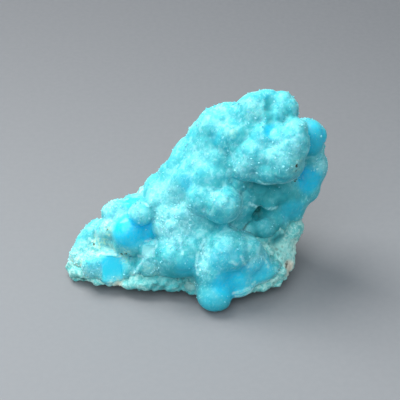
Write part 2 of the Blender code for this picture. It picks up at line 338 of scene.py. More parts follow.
# The big knobs are the solid's own: centre and radius in millimetres. moveMm takes them to the
# middle of the footprint.
crust = {
    "cellMm": 0.293,
    "easing": 12,
    "moveMm": (0.14, -16.68, 0.0),
    "knobs": {
        "toe": (3.7, 2.5, 3.8, 4.2), "toeLeft": (3.0, 4.2, 8.9, 4.0), "instep": (6.9, 5.8, 13.4, 5.3),
        "instepLow": (9.0, 6.0, 6.2, 4.2), "ankle": (13.8, 7.5, 8.6, 3.3),
        "ankleLow": (13.2, 8.0, 4.4, 2.8), "heel": (17.2, 9.5, 5.9, 3.0),
        "belly": (-4.2, 8.5, 10.8, 6.2), "bellyLow": (-7.0, 9.5, 6.2, 3.8),
        "bellyLeft": (-11.8, 10.0, 5.4, 3.6), "sideLump": (-0.9, 8.5, 8.2, 2.8),
        "whiteFacet": (-12.0, 11.0, 8.8, 2.8), "midFrost": (-5.5, 11.8, 16.9, 4.9),
        "midFrostUp": (-7.9, 15.0, 21.0, 4.2), "midFrostLeft": (-10.5, 16.5, 18.5, 3.0),
        "midRight": (1.2, 11.0, 14.7, 4.6), "midLink": (-1.3, 12.5, 19.4, 4.0),
        "chest": (5.5, 9.5, 24.0, 4.9), "chestLeft": (0.5, 13.5, 24.3, 4.1),
        "nose": (18.8, 12.0, 34.5, 5.4), "noseLow": (15.3, 12.0, 31.6, 3.8),
        "noseTop": (21.6, 14.5, 40.0, 3.1), "cheek": (10.9, 13.5, 32.2, 4.3),
        "cheekTop": (13.0, 13.5, 36.5, 2.6), "brow": (12.6, 19.5, 42.8, 4.0),
        "browLow": (12.2, 17.0, 39.3, 3.4), "browFill": (15.8, 21.0, 42.7, 3.4),
        "crown": (19.0, 20.5, 42.2, 4.2), "shoulderTop": (6.8, 20.5, 39.6, 3.9),
        "shoulder": (2.1, 20.5, 34.8, 4.5), "shoulderMid": (4.6, 17.0, 31.3, 5.0),
        "shoulderLeft": (-1.4, 20.0, 30.3, 4.1), "shoulderLow": (-4.3, 19.0, 25.2, 4.4),
        "shoulderIn": (0.5, 17.0, 27.5, 4.6), "flank": (-8.9, 19.0, 21.1, 4.2),
        "earUp": (25.5, 23.0, 34.0, 3.7), "earMid": (26.7, 23.0, 29.7, 3.0),
        "earLow": (26.8, 22.0, 25.3, 4.0), "earTail": (25.4, 21.0, 20.6, 3.8),
        "underNose": (14.9, 17.6, 20.3, 4.6), "underNoseRight": (21.3, 19.2, 19.6, 4.9),
        "recessLump": (17.9, 15.6, 14.8, 3.5), "recessSmall": (12.2, 13.3, 13.9, 3.2),
        "recessDeep": (14.6, 14.0, 9.2, 3.6), "rightEdge": (22.6, 18.8, 16.0, 3.2),
        "pearl": (-13.2, 13.5, 18.6, 2.7), "glassKnob": (-16.4, 12.1, 14.8, 3.7),
        "glassRight": (-12.7, 15.0, 12.6, 3.6), "druseKnob": (-19.4, 17.0, 16.3, 3.0),
        "armGap": (-15.4, 19.0, 17.0, 3.4), "armKnob": (-24.2, 17.6, 10.8, 3.0),
        "armLow": (-26.6, 16.5, 8.0, 2.5), "creamRidge": (-21.6, 14.0, 13.1, 2.6),
        "window": (-20.2, 10.5, 5.2, 4.8), "windowRight": (-17.6, 11.0, 4.8, 3.6),
        "windowLeft": (-24.6, 12.5, 5.0, 3.6), "leftFoot": (-27.6, 14.5, 4.6, 3.6),
    },
    # the knobs that stand clear of their neighbours; the others stay melted together
    "clear": [
        "chest", "nose", "crown", "brow", "earUp", "earLow", "druseKnob", "belly", "recessLump",
        "recessSmall", "armKnob", "cheek", "noseLow", "browLow", "toeLeft",
    ],
    # what grew over the knobs: centre, radii in millimetres, and turn about the depth axis in degrees
    "fillers": {
        "slopeBack": ((-1.0, 3.2, 30.2), (13.0, 4.3, 4.3), 49.5),
        "slopeFront": ((-1.2, -0.6, 26.8), (10.5, 4.3, 4.5), 49.0),
        "noseBridge": ((20.9, -3.6, 37.8), (4.1, 4.3, 5.0), 0.0),
        "underBrow": ((17.4, 1.6, 22.2), (7.4, 4.4, 3.6), 0.0),
        "noseChin": ((18.0, -5.4, 33.0), (5.6, 4.2, 3.8), 0.0),
        "slopeTop": ((4.2, 3.4, 37.6), (4.4, 4.2, 4.8), 0.0),
        "chinGap": ((8.6, -4.3, 27.3), (2.4, 1.8, 1.8), 0.0),
        "noseGap": ((13.6, -1.7, 24.2), (2.8, 1.9, 1.8), 0.0),
        "neck": ((3.0, -3.8, 28.2), (5.0, 3.6, 4.6), 30.0),
        "chestSide": ((1.3, -6.2, 24.6), (3.8, 3.4, 4.0), 0.0),
        "instepSide": ((11.2, -10.4, 13.0), (3.8, 3.2, 3.8), 0.0),
        "recessFill": ((15.2, -3.6, 14.6), (3.4, 2.4, 2.6), 0.0),
        "glassFoot": ((-15.4, -5.8, 11.6), (4.4, 2.8, 3.0), 0.0),
        "bellyFlank": ((-10.4, -7.6, 7.8), (5.6, 3.0, 3.4), 54.0),
        "noseSide": ((13.8, -4.2, 34.8), (5.2, 4.0, 4.2), 0.0),
        "noseRoot": ((16.2, -2.6, 38.8), (4.4, 3.6, 4.0), 0.0),
        "pocketFill": ((16.6, -0.2, 42.2), (2.4, 2.4, 2.2), 0.0),
        "shoulderFill": ((8.2, -0.4, 37.0), (4.6, 3.5, 4.6), 20.0),
        "earSlab": ((26.3, 5.6, 33.4), (3.2, 3.4, 4.4), 0.0),
        "glassBall": ((-16.4, -5.0, 14.0), (3.7, 3.7, 3.7), 0.0),
        "pearlBall": ((-13.0, -5.0, 19.3), (2.7, 2.7, 2.7), 0.0),
        "paneLeft": ((-24.4, -7.9, 6.0), (2.8, 1.8, 3.0), 0.0),
        "paneRight": ((-16.7, -8.2, 5.4), (2.2, 1.9, 3.0), 0.0),
        "sheet": ((-12.9, -9.2, 8.0), (5.8, 1.3, 0.8), 54.0),
        "leafPlate": ((-11.2, -8.3, 11.6), (2.5, 1.2, 1.8), 35.0),
        "wing": ((13.2, -9.8, 6.1), (6.0, 3.6, 2.4), 14.0),
        "toeBall": ((4.0, -14.9, 3.5), (4.1, 4.1, 3.8), 0.0),
        "ankleLink": ((11.2, -9.2, 9.8), (4.9, 4.4, 5.4), 0.0),
        "wingLow": ((9.6, -12.6, 3.9), (4.0, 2.8, 2.2), 14.0),
        "crownTop": ((15.6, 3.8, 43.4), (5.4, 3.4, 3.0), 0.0),
    },
    # broken faces: middle, turn and lift of the way they face in degrees, half width and half height
    "facets": {
        "window": ((-19.9, -9.25, 6.5), 4.0, 30.0, 2.3, 2.9),
        "leaf": ((-11.2, -9.1, 11.9), -10.0, 34.0, 1.5, 1.2),
    },
    # thin pale edges and healed cracks, each a run of points
    "veins": [
        [(-28.2, -2.9, 8.1), (-26.8, -3.3, 8.2), (-25.4, -4.4, 8.0), (-24.6, -5.4, 7.9)],
        [(13.7, -7.5, 30.5), (15.2, -8.2, 29.7), (17.2, -8.5, 29.2), (19.2, -8.5, 29.2),
         (21.2, -8.2, 29.7), (23.0, -7.6, 31.4)],
        [(10.1, -6.7, 25.6), (10.4, -7.6, 24.3), (9.9, -8.7, 22.7), (8.7, -9.7, 21.3),
         (7.3, -10.2, 20.6)],
        [(1.6, -10.4, 15.9), (0.6, -11.3, 14.3), (0.0, -12.7, 12.8), (-0.3, -13.7, 11.0),
         (0.2, -15.0, 9.4)],
        [(8.7, -15.3, 3.3), (10.6, -15.2, 3.5), (12.4, -14.5, 4.2), (13.5, -13.4, 5.2),
         (16.4, -12.6, 6.0), (18.6, -10.8, 6.0)],
        [(8.2, -15.6, 4.3), (10.2, -15.4, 4.6), (12.0, -14.9, 5.2), (13.4, -14.0, 6.0)],
        [(-13.4, -7.6, 9.2), (-13.6, -6.7, 10.3), (-12.7, -6.2, 11.6), (-11.2, -6.6, 12.8),
         (-9.5, -8.1, 13.9)],
        [(-9.5, -8.1, 13.9), (-9.3, -9.5, 13.5), (-10.2, -9.3, 11.9), (-11.6, -9.8, 10.9),
         (-13.4, -7.6, 9.2)],
        [(-16.3, -10.3, 2.9), (-15.3, -10.1, 5.2), (-14.0, -10.2, 7.3), (-12.8, -10.0, 9.2),
         (-11.4, -9.8, 10.8)],
        [(-25.1, -5.6, 8.2), (-23.3, -6.6, 8.7), (-21.6, -7.3, 9.5), (-19.7, -7.6, 9.6),
         (-17.9, -7.5, 9.0)],
        [(9.7, -14.6, 14.6), (10.4, -14.6, 13.0), (11.6, -13.6, 10.6)],
        [(7.6, -16.1, 14.0), (8.8, -15.6, 13.1)],
        [(15.1, -11.4, 12.1), (15.9, -11.3, 10.3), (16.4, -11.7, 8.8)],
        [(11.8, -5.4, 22.7), (13.3, -4.7, 21.4), (15.0, -3.6, 20.1), (16.8, -3.8, 20.1),
         (18.5, -2.4, 19.5)],
        [(-20.0, 0.4, 18.9), (-18.2, 1.2, 19.3), (-16.7, 1.3, 19.8)],
        [(-25.7, -2.6, 10.6), (-24.7, -3.6, 10.0), (-23.6, -5.0, 9.5)],
        [(-24.7, -1.5, 12.8), (-23.5, -4.1, 13.3), (-23.1, -4.5, 11.5)],
        [(-15.4, -5.8, 20.0), (-15.3, -4.4, 20.6), (-14.1, -4.2, 21.5), (-12.5, -4.2, 21.8),
         (-11.1, -5.0, 21.4)],
        [(-3.9, -10.9, 16.9), (-3.7, -11.9, 15.4), (-3.4, -13.3, 14.1)],
        [(-5.7, -10.6, 16.7), (-5.7, -11.6, 15.4)],
        [(2.4, -6.1, 27.9), (2.9, -7.5, 27.8), (3.5, -8.8, 27.6)],
        [(1.3, -12.7, 13.1), (1.5, -14.1, 12.5)],
    ],
    "veinMm": {"width": 0.18, "fade": 0.30, "height": 0.12},
    # x, y, z, radius and depth of the holes
    "holes": [
        (16.3, -4.5, 41.5, 1.8, 0.9), (14.2, -3.5, 18.8, 2.2, 1.5), (18.5, -3.6, 12.6, 1.3, 0.8),
        (13.6, -4.6, 13.2, 1.0, 0.7), (5.4, -0.8, 37.4, 1.9, 0.5), (2.8, -12.6, 16.0, 1.2, 0.5),
        (-18.6, -5.6, 9.6, 1.0, 0.6), (-15.4, 3.4, 20.0, 4.0, 1.4), (-25.0, 1.6, 13.5, 3.2, 1.1),
        (22.6, 4.6, 45.0, 2.4, 0.8), (-6.8, 5.0, 29.0, 2.8, 0.7), (16.2, 1.6, 45.6, 1.5, 0.6),
        (15.9, -0.2, 44.7, 1.4, 0.65), (15.9, -1.9, 43.9, 1.3, 0.55), (16.1, -3.0, 42.8, 1.2, 0.4),
    ],
    "meltMm": 1.0,  # how softly one knob runs into the next
    "pulls": 4,  # rounds in which the skin is pulled onto the knobs
    "sinkMm": 0.45,
    "reachMm": (0.8, 1.4),
    "creaseMm": 1.2,
    "looseMm": (0.45, 0.9),  # how far from the rock the skin is free to move
    # small knobs on the big ones: x, y, z, radius and height in millimetres
    "smallKnobs": [
        (16.3, 4.3, 46.1, 1.5, 0.45), (19.1, 3.0, 46.0, 2.1, 0.5), (21.3, 1.4, 44.9, 2.1, 0.55),
        (18.0, 0.2, 43.5, 2.2, 0.5), (18.2, -5.6, 40.8, 2.4, 0.5), (22.0, -3.7, 42.3, 2.2, 0.4),
        (17.0, -8.1, 38.0, 2.8, 0.6), (20.1, -7.0, 38.9, 2.6, 0.6), (19.7, -9.8, 35.3, 3.2, 0.6),
        (15.3, -8.2, 32.6, 2.5, 0.6), (21.7, -8.6, 36.3, 2.0, 0.5), (10.0, -7.0, 33.1, 2.5, 0.55),
        (12.1, -4.9, 37.8, 2.6, 0.6), (8.7, -3.8, 35.5, 2.0, 0.5), (11.7, 0.6, 45.6, 2.4, 0.5),
        (14.3, -0.7, 44.0, 2.3, 0.5), (7.3, 1.4, 42.6, 2.3, 0.35), (6.2, 0.1, 39.4, 1.9, 0.35),
        (3.1, 1.1, 39.3, 2.1, 0.3), (1.8, -1.2, 35.7, 2.2, 0.35), (4.2, -3.8, 34.0, 2.3, 0.4),
        (0.6, -2.9, 31.2, 2.0, 0.35), (-2.5, -0.4, 31.2, 1.8, 0.3), (-5.8, -1.9, 25.4, 2.0, 0.35),
        (-0.3, -6.8, 25.9, 1.9, 0.35), (26.4, 3.7, 36.2, 2.6, 0.4), (28.7, 2.4, 27.2, 2.2, 0.5),
        (15.6, -4.3, 15.2, 2.6, 0.9), (18.3, -3.4, 17.1, 2.3, 0.8), (11.5, -6.3, 15.5, 2.4, 0.8),
        (16.9, -3.1, 20.3, 2.1, 0.6), (13.1, -11.7, 10.9, 2.4, 0.5), (16.1, -11.3, 9.1, 1.7, 0.4),
        (6.3, -13.9, 17.7, 2.6, 0.4), (1.3, -14.9, 11.4, 1.5, 0.35), (-20.9, -1.4, 17.7, 2.1, 0.5),
        (-22.3, 1.5, 15.6, 2.1, 0.9), (-23.8, -0.2, 13.6, 1.9, 0.5), (-25.9, -1.5, 11.3, 1.9, 0.5),
        (-27.4, -3.2, 9.0, 1.6, 0.4), (-20.9, -3.4, 15.6, 1.4, 0.45), (-21.0, -5.0, 13.6, 1.4, 0.45),
        (-23.2, -4.4, 10.2, 1.9, 0.45), (-20.0, -5.0, 11.3, 1.4, 0.4), (-4.4, -10.1, 16.9, 2.4, 0.5),
        (-1.2, -11.5, 15.0, 2.1, 0.45), (-6.6, -13.0, 13.7, 2.4, 0.5), (-2.8, -13.9, 12.3, 2.6, 0.5),
        (-10.9, -3.7, 22.4, 1.8, 0.45), (-7.8, -6.6, 20.8, 2.1, 0.5), (-3.5, -6.9, 21.3, 2.1, 0.5),
        (-9.7, -6.9, 16.8, 2.0, 0.5), (-6.2, -9.3, 18.5, 2.1, 0.5), (4.9, -10.6, 27.0, 2.2, 0.35),
        (7.4, -11.4, 24.6, 2.0, 0.3), (-10.8, -9.6, 7.2, 2.4, 0.4), (-27.5, -6.0, 5.6, 2.2, 0.4),
        (-25.4, -7.6, 4.4, 1.8, 0.35), (-20.8, -9.8, 2.8, 0.9, 0.4), (-18.3, -10.3, 2.6, 0.8, 0.4),
        (-16.9, -10.1, 3.0, 0.8, 0.35), (-7.3, 6.6, 22.8, 2.6, 0.7), (-4.2, 6.9, 26.5, 2.4, 0.7),
        (-2.6, 5.5, 31.2, 2.6, 0.6), (-0.2, 7.4, 30.9, 2.8, 0.8), (1.4, 6.4, 35.0, 2.5, 0.7),
        (3.8, 7.3, 35.6, 2.7, 0.8), (5.6, 6.0, 39.6, 2.6, 0.6), (7.6, 7.2, 39.2, 2.6, 0.7),
        (11.5, 7.6, 42.5, 2.8, 0.7), (15.0, 7.8, 44.0, 2.6, 0.7), (-11.2, 5.9, 20.2, 2.4, 0.6),
        (-15.5, 5.2, 17.8, 2.4, 0.6), (-19.5, 3.6, 15.2, 2.4, 0.6), (-24.5, 2.6, 12.4, 2.2, 0.5),
        (27.2, 8.8, 34.5, 2.3, 0.5), (28.2, 8.2, 30.4, 2.4, 0.6), (28.6, 7.2, 26.0, 2.6, 0.6),
        (29.4, 5.6, 34.4, 2.0, 0.5), (24.6, 8.0, 36.2, 2.0, 0.5), (22.2, 7.4, 42.6, 2.2, 0.4),
    ],
    "nodules": {"sizeMm": 2.6, "heightMm": 0.28, "shift": 1.3, "least": 0.25},
    "beads": {"sizeMm": 1.25, "heightMm": 0.18, "shift": 7.7, "least": 0.3},
    "sugar": {"sizeMm": 0.66, "heightMm": 0.13, "shift": 12.0, "least": 0.4},
    "swellMm": 0.05,
    "contactMm": 0.30,  # the swelling where the crust meets the rock
    "contactFadeMm": (0.45, 1.4),
    "crestRounds": 60,
    # spots of a finish or of painted shade: x, y, z and radius in millimetres, then the amount
    "smooth": [
        (2.6, -2.4, 33.0, 6.5, 0.65), (-2.8, -4.6, 28.0, 6.5, 0.65), (8.5, -1.0, 40.0, 5.0, 0.4),
        (-13.0, -5.6, 19.9, 3.3, 1.0), (-16.4, -6.5, 15.0, 4.6, 1.0), (-12.4, -5.5, 15.0, 2.6, 0.9),
    ],
    "crisp": [(-12.0, -7.3, 10.2, 2.6, 0.9)],
    "glassy": [
        (6.9, -15.4, 13.0, 4.6, 0.35), (3.6, -18.0, 3.4, 3.4, 0.35), (-15.9, -7.7, 16.0, 4.4, 1.0),
        (-12.1, -5.7, 15.4, 3.2, 1.0), (-15.2, 0.2, 19.2, 2.6, 0.9), (-19.9, -8.8, 7.2, 3.4, 0.75),
        (-24.0, -7.6, 6.8, 2.4, 0.35), (26.0, 1.6, 24.4, 3.6, 1.0), (26.7, 3.0, 34.8, 4.6, 0.65),
        (16.3, -4.5, 41.5, 1.8, 0.85), (7.3, -14.6, 7.0, 5.0, 1.0), (13.6, -12.4, 8.6, 4.2, 0.6),
        (10.5, -13.3, 9.6, 3.0, 0.7), (3.9, -17.6, 3.4, 4.0, 0.3), (1.8, -4.2, 28.6, 2.6, 0.45),
        (-1.6, -4.1, 27.4, 2.6, 0.4), (5.2, -0.9, 37.3, 2.2, 0.35), (22.3, -2.0, 18.0, 3.4, 0.5),
        (-2.5, -13.2, 10.4, 3.0, 0.35), (16.1, -11.3, 9.1, 1.8, 0.5),
    ],
    "frosty": [
        (1.0, -1.8, 33.6, 3.6, 0.35), (-5.3, -8.5, 20.2, 6.4, 0.8), (-7.4, -4.6, 23.6, 4.8, 0.7),
        (0.6, -2.4, 32.0, 2.4, 0.6), (1.3, -14.6, 11.4, 1.8, 0.9), (2.0, -12.3, 13.8, 1.9, 0.8),
        (-27.9, -5.0, 4.9, 5.0, 0.9), (-10.9, -9.2, 12.2, 1.8, 0.5), (-13.0, -5.8, 20.4, 2.9, 0.35),
        (13.7, -13.0, 11.4, 2.4, 0.6), (13.7, -12.6, 4.2, 1.6, 0.9), (17.5, -10.9, 4.4, 1.6, 0.9),
        (10.5, -14.4, 2.6, 1.4, 0.8), (-14.6, -9.8, 5.6, 1.4, 0.8), (-12.2, -9.6, 9.0, 1.3, 0.8),
        (-19.8, -1.5, 18.0, 3.4, 0.7), (11.7, -12.0, 10.0, 1.9, 0.7), (13.0, -0.7, 44.3, 2.7, 0.25),
        (-18.9, -9.8, 3.2, 3.0, 0.8), (-2.2, -12.0, 4.6, 3.0, 0.7), (-19.4, -10.0, 2.8, 2.2, 0.9),
        (15.8, -4.4, 15.6, 2.6, 0.6), (28.9, 2.6, 27.6, 2.8, 0.75), (11.0, -6.5, 33.5, 3.6, 0.4),
        (-9.5, -10.3, 6.0, 3.6, 0.4), (19.0, -8.6, 38.0, 4.2, 0.4), (4.9, -10.6, 27.2, 2.2, 0.6),
        (-24.5, -7.4, 5.0, 3.4, 0.7), (13.1, -11.7, 10.9, 2.4, 0.6), (11.5, -6.3, 15.5, 1.9, 0.45),
        (6.3, -13.9, 17.7, 2.6, 0.35), (22.0, -3.7, 42.3, 2.0, 0.5), (-23.8, -0.6, 13.4, 2.6, 0.5),
    ],
    "stained": [
        (-27.8, -4.6, 4.4, 4.0, 0.9), (-22.9, -4.8, 10.2, 3.4, 1.0), (-21.0, -4.6, 14.8, 2.2, 0.9),
        (-27.4, -5.6, 5.0, 4.2, 0.55), (-17.0, -8.2, 10.0, 2.6, 0.5), (-19.4, -10.2, 2.8, 2.2, 0.5),
        (7.6, -2.8, 40.3, 1.7, 0.5), (12.8, -0.6, 44.2, 2.6, 0.2), (7.8, 0.0, 39.2, 1.3, 0.7),
        (-18.0, -6.0, 10.0, 2.4, 0.6), (-25.4, -4.0, 9.4, 2.2, 0.5), (21.9, -8.8, 35.0, 2.2, 0.35),
        (-10.8, -9.6, 7.4, 2.4, 0.35), (-1.9, -12.7, 5.0, 1.8, 0.3),
    ],
    # painted shade: these spots turn the colour towards the shade green and thin the frost
    "shaded": [
        (26.7, 3.0, 34.8, 4.6, 0.45), (3.9, -17.6, 3.2, 4.2, 0.5), (22.3, -2.0, 18.0, 3.4, 0.4),
        (26.5, 2.0, 26.0, 3.6, 0.25), (16.0, -3.6, 15.6, 5.0, 0.75), (14.1, -3.4, 19.4, 4.0, 0.9),
        (21.0, -3.2, 20.6, 4.6, 0.6), (17.0, -5.0, 26.2, 5.4, 0.75), (-4.0, -13.2, 7.6, 4.2, 0.55),
        (17.5, 0.5, 45.0, 6.5, 0.2), (11.5, 0.5, 44.0, 4.5, 0.15), (16.2, 1.4, 45.4, 1.5, 0.6),
        (15.9, -0.2, 44.6, 1.5, 0.7), (15.9, -1.9, 43.8, 1.4, 0.7), (16.1, -3.0, 42.7, 1.3, 0.6),
        (21.9, -8.8, 35.3, 2.8, 0.4), (-1.4, -11.6, 6.4, 2.8, 0.4), (18.5, -3.9, 12.3, 1.6, 1.0),
        (13.9, -3.7, 18.7, 1.4, 1.0),
    ],
    "specks": [
        (-24.9, -3.8, 10.1, 0.5, 1.0), (-24.4, -4.2, 9.9, 0.4, 0.7), (-17.7, -7.6, 10.0, 0.45, 0.9),
        (-16.5, -7.8, 10.2, 0.5, 1.0), (-15.9, -7.9, 10.3, 0.4, 0.8), (-20.7, -4.9, 14.6, 0.4, 0.7),
        (-22.6, -5.4, 9.4, 0.35, 0.6), (21.9, -8.9, 35.3, 0.5, 1.0), (21.5, -9.0, 34.3, 0.4, 0.7),
        (22.8, 0.1, 25.4, 0.55, 1.0),
    ],
    "deepBlue": (0.003, 0.64, 0.90),
    "bodyCyan": (0.080, 0.55, 0.590),
    "paleCyan": (0.130, 0.65, 0.70),
    # white of the frost and sugar, also the painted sheen at the knobs' edges
    "frostAndSheenWhite": (0.40, 0.85, 0.875),
    # painted shade colour, mixed in at the shaded spots and at the rock's teal shade spots
    "shadeGreen": (0.006, 0.31, 0.35),
    # teal of the darker mottles, also the painted shade in hollows, creases and undersides
    "tealMottleAndShade": (0.012, 0.40, 0.50),
    "paneBlue": (0.022, 0.66, 0.86),
    "limonite": (0.58, 0.84, 0.66),
    "speckBrown": (0.05, 0.06, 0.03),
    "glowMm": 3.4,  # how deep light runs in
    "bump": {"strength": 0.36, "distanceMm": 0.08},
}


# For each point: distance to the melted knobs' surface, the way out of it, how close the next knob
# is, and the share of clear knobs.
def knobField(points, centres, radii, clear):
    apart = np.stack([np.linalg.norm(points - centre, axis=1) for centre in centres])
    gaps = apart - radii[:, None]
    order = np.sort(gaps, axis=0)[:2]
    melt = crust["meltMm"] * mm
    weights = np.exp(-(gaps - order[0]) / melt)
    total = weights.sum(axis=0)
    outward = np.zeros_like(points)
    for weight, centre, reach in zip(weights, centres, apart):
        outward += (weight / total / reach)[:, None] * (points - centre)
    outward /= np.maximum(np.linalg.norm(outward, axis=1), 1e-6)[:, None]
    firmness = (weights * clear[:, None]).sum(axis=0) / total
    return order[0] - melt * np.log(total), outward, order[1] - order[0], firmness


# 1 on the surface of a filler, 0 away from it
def onFiller(points, fillers):
    share = np.zeros(len(points))
    for centre, radii, turn in fillers:
        turned = np.array(Euler((0.0, -math.radians(turn), 0.0)).to_matrix())
        scaled = ((points / mm - centre) @ turned) / radii
        away = (np.linalg.norm(scaled, axis=1) - 1.0) * min(radii)
        share = np.maximum(share, 1.0 - smoothstep(0.25, 0.7, np.abs(away)))
    return share


def treeOf(points):
    tree = KDTree(len(points))
    for index, point in enumerate(points):
        tree.insert(point, index)
    tree.balance()
    return tree


# 1 along the thin pale edges, which are laid onto the surface first
def onVeins(points, veins, widthMm, fadeMm):
    surface = treeOf(points)
    laid = []
    stepsPerPart = 14
    for vein in veins:
        for start, end in zip(vein, vein[1:]):
            for step in np.linspace(0.0, 1.0, stepsPerPart):
                laid.append(surface.find((Vector(start).lerp(Vector(end), step)) * mm)[0])
    line = treeOf(laid)
    away = np.array([line.find(point)[2] for point in points]) / mm
    return 1.0 - smoothstep(widthMm, widthMm + fadeMm, away)


# the same spots, each moved onto the nearest point of the surface
def laidOn(points, spots):
    surface = treeOf(points)
    found = [np.array(surface.find(Vector(spot[:3]) * mm)[0]) / mm for spot in spots]
    return [(*place, *spot[3:]) for place, spot in zip(found, spots)]


# flattens a broken face into one plane and returns how much of each point lies in it
def flatten(points, middle, turn, lift, halfWidthMm, halfHeightMm):
    out = np.array(directionTo(turn, lift))
    across = np.cross((0.0, 0.0, 1.0), out)
    across /= np.linalg.norm(across)
    offset = points / mm - middle
    depth = offset @ out
    sideways = np.abs(offset @ across) / halfWidthMm
    reach = np.maximum(sideways, np.abs(offset @ np.cross(out, across)) / halfHeightMm)
    share = (1.0 - smoothstep(0.92, 1.12, reach)) * (1.0 - smoothstep(1.6, 2.4, np.abs(depth)))
    return points - out * (depth * share * mm)[:, None], share


# 1 in the middle of a round spot, 0 from its radius on
def dome(points, x, y, z, radius):
    away = np.linalg.norm(points / mm - (x, y, z), axis=1) / radius
    return np.clip(1.0 - away ** 2, 0.0, 1.0)


# round caps packed side by side
def caps(points, sizeMm, shift):
    near, _ = cells(points, sizeMm, shift)
    return np.sqrt(np.clip(1.0 - (near / 0.78) ** 2, 0.0, 1.0)) - 0.6


def buildCrust():
    thing = fineSkin("hemimorphite_crust", "crust", crust)
    points, edges = readMesh(thing)
    rockTree = BVHTree.FromObject(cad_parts["matrix"], bpy.context.evaluated_depsgraph_get())
    toRock = np.array([rockTree.find_nearest(Vector(p))[3] for p in points]) / mm
    free = smoothstep(*crust["looseMm"], toRock) * (1.0 - patchWeight(points, crust["crisp"]))

    # pull the skin onto the knobs, so that the creases between them are sharp
    knobs = np.array(list(crust["knobs"].values()))
    centres, radii = (knobs[:, :3] + crust["moveMm"]) * mm, knobs[:, 3] * mm
    clear = np.array([1.0 if name in crust["clear"] else 0.0 for name in crust["knobs"]])
    loose = free * (1.0 - onFiller(points, crust["fillers"].values()))
    for _ in range(crust["pulls"]):
        gap, outward, _, firmness = knobField(points, centres, radii, clear)
        gap = gap + crust["sinkMm"] * mm
        pull = loose * firmness * (1.0 - smoothstep(*crust["reachMm"], np.abs(gap) / mm))
        points = points - outward * (gap * pull)[:, None]
        points = relaxed(points, edges, 1, (0.5 * free)[:, None])
    points, pane = flatten(points, *crust["facets"]["window"])
    points, leaf = flatten(points, *crust["facets"]["leaf"])
    free *= 1.0 - np.maximum(pane, leaf)
    writePoints(thing, points)
    _, _, crease, firmness = knobField(points, centres, radii, clear)
    crease = (1.0 - smoothstep(0.0, crust["creaseMm"], crease / mm)) * (0.4 + 0.6 * firmness)

    # the finishes, and the shaded spots of painted shade
    finishesAndShade = ("glassy", "frosty", "smooth", "stained", "shaded")
    spots = {name: patchWeight(points, crust[name]) for name in finishesAndShade}
    frosty, even = spots["frosty"], spots["smooth"]
    rough = smoothstep(-0.35, 0.35, clouds(points, 9.0, 2, 3.1))
    calm = (1.0 - np.maximum(0.8 * spots["glassy"], even)) * free
    contact = crust["contactMm"] * (1.0 - smoothstep(*crust["contactFadeMm"], toRock))
    heights = crust["swellMm"] * free + contact
    bump = np.zeros(len(points))
    for *spot, height in crust["smallKnobs"]:
        bump = np.maximum(bump, height * dome(points, *spot) ** 0.8)
    for *spot, depth in crust["holes"]:
        heights -= depth * dome(points, *spot)
    heights += bump * free * (1.0 - 0.5 * even)
    own = 1.0 - smoothstep(0.0, 0.3, bump)  # no chance nodules where a small knob is
    layers = (("nodules", rough, own), ("beads", rough, 1.0), ("sugar", np.maximum(frosty, rough), 1.0))
    for name, where, share in layers:
        grown = crust[name]
        amount = grown["least"] + (1.0 - grown["least"]) * where
        heights += grown["heightMm"] * caps(points, grown["sizeMm"], grown["shift"]) * calm * amount * share
    veinMm = crust["veinMm"]
    veins = onVeins(points, crust["veins"], veinMm["width"], veinMm["fade"])
    heights += veinMm["height"] * veins
    raiseSkin(thing, heights)
    crest = standOut(thing, crust["crestRounds"])

    facing = relaxed(normalsOf(thing), edges, 12)
    x, _, z = (readMesh(thing)[0] / mm).T
    # painted shade: the colour turns teal where the surface faces down and on the low belly
    belly = smoothstep(-12.0, -7.0, x) * (1.0 - smoothstep(-1.0, 3.0, x))
    undersideShade = 0.6 * smoothstep(0.25, -0.5, facing[:, 2]) + 0.4 * (1.0 - smoothstep(4.0, 11.0, z)) * belly
    specks = patchWeight(points, laidOn(points, crust["specks"]))
    kept = dict(spots, crease=crease, specks=specks, pane=pane, leaf=leaf, undersideShade=undersideShade, vein=veins)
    kept["crest"] = np.clip(crest / 0.9, -1.0, 1.0)
    for name, values in kept.items():
        storeAttribute(thing, name, values)
    bare = np.maximum(np.maximum(spots["glassy"], pane), spots["shaded"])  # few loose crystals grow here
    return thing, frosty * (1.0 - 0.7 * even), bare, crest


crustPiece, crustFrost, crustBare, crustCrest = buildCrust()
print("crust built:", len(crustPiece.data.vertices), "points")


